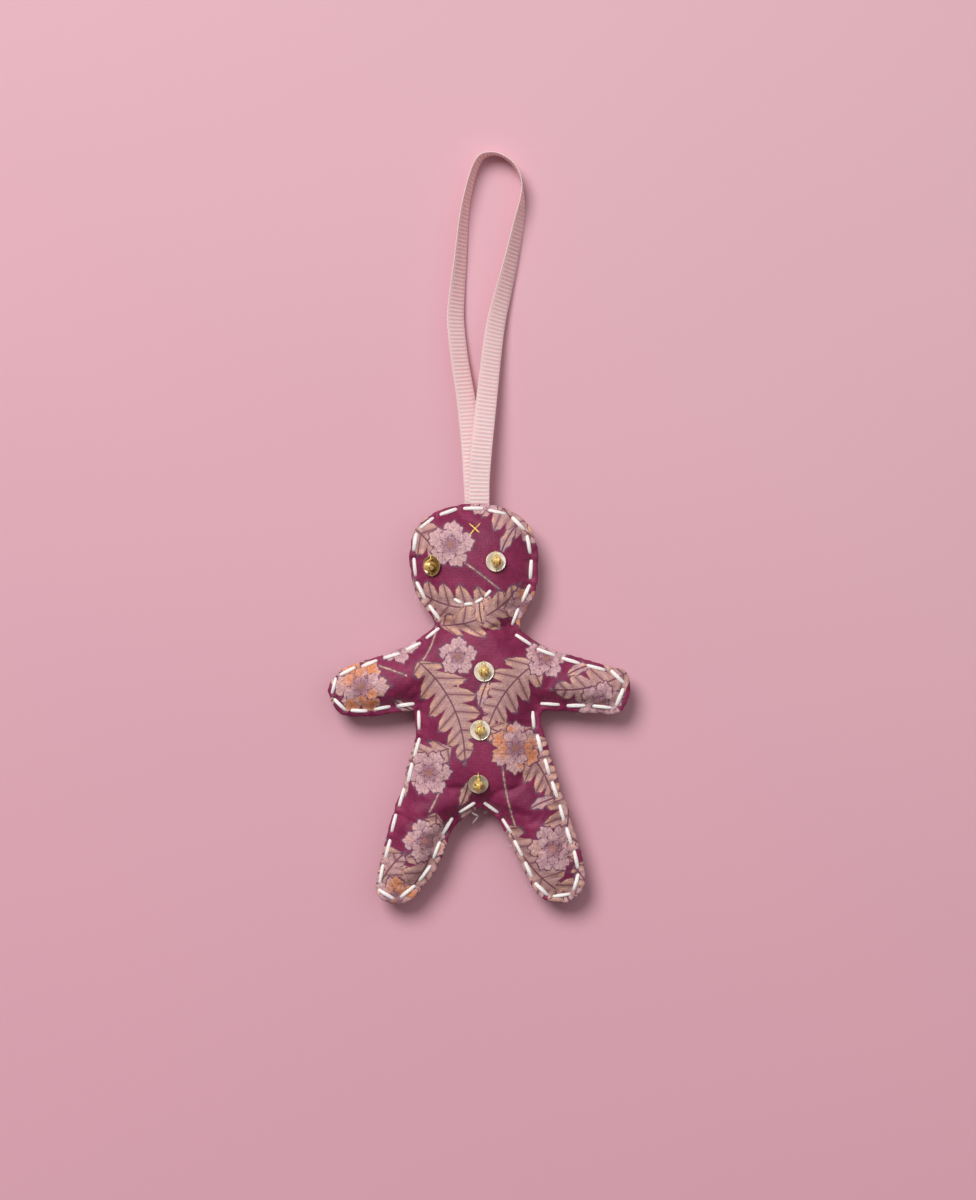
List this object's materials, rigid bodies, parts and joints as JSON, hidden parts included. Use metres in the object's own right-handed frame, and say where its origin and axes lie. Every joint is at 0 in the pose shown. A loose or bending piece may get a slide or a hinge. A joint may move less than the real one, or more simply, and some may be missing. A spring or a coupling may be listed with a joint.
{
  "type": "stuffed gingerbread figure ornament",
  "caption": "Small stuffed figure of printed silk with a hand-stitched edge, sequin eyes and buttons, a stitched smile and a ribbon loop to hang it by.",
  "frame": {"origin": "under the middle of the figure's own bounding box, ribbon loop left out, on the surface it lies on", "axes": "+X the viewer's right, +Y towards the top of the head and the ribbon, +Z out of the face; the figure lies on its back"},
  "size_m": [0.0854, 0.2113, 0.0176],
  "materials": {
    "printed_silk": "silk with a soft sheen, plum ground with a leaf and blossom print",
    "fibrefill": "loose white polyester fibre",
    "white_thread": "matt stranded cotton",
    "gold_thread": "metallic embroidery thread",
    "sequin_film": "pearly cup sequin",
    "gold_bead": "gold-lined glass",
    "grosgrain": "matt cross-ribbed ribbon"
  },
  "bodies": {
    "figure": {"front_panel": "printed_silk", "back_panel": "printed_silk", "torso_padding": "fibrefill", "head_padding": "fibrefill", "left_arm_padding": "fibrefill", "right_arm_padding": "fibrefill", "left_leg_padding": "fibrefill", "right_leg_padding": "fibrefill", "seam_thread": "white_thread", "smile_thread": "white_thread", "cross_stitch_thread": "gold_thread", "left_eye_sequin": "sequin_film", "left_eye_bead": "gold_bead", "left_eye_thread": "gold_thread", "right_eye_sequin": "sequin_film", "right_eye_bead": "gold_bead", "right_eye_thread": "gold_thread", "upper_button_sequin": "sequin_film", "upper_button_bead": "gold_bead", "upper_button_thread": "gold_thread", "middle_button_sequin": "sequin_film", "middle_button_bead": "gold_bead", "middle_button_thread": "gold_thread", "lower_button_sequin": "sequin_film", "lower_button_bead": "gold_bead", "lower_button_thread": "gold_thread", "lower_ribbon_tail": "grosgrain", "upper_ribbon_tail": "grosgrain"},
    "loop": {"hanging_loop": "grosgrain"}
  },
  "joints": [
    {"name": "loop_swing", "type": "hinge", "parent": "figure", "child": "loop", "pos_m": [-0.0007, 0.0572, 0.0074], "axis": [1, 0, 0], "range_deg": [0, 120]}
  ]
}
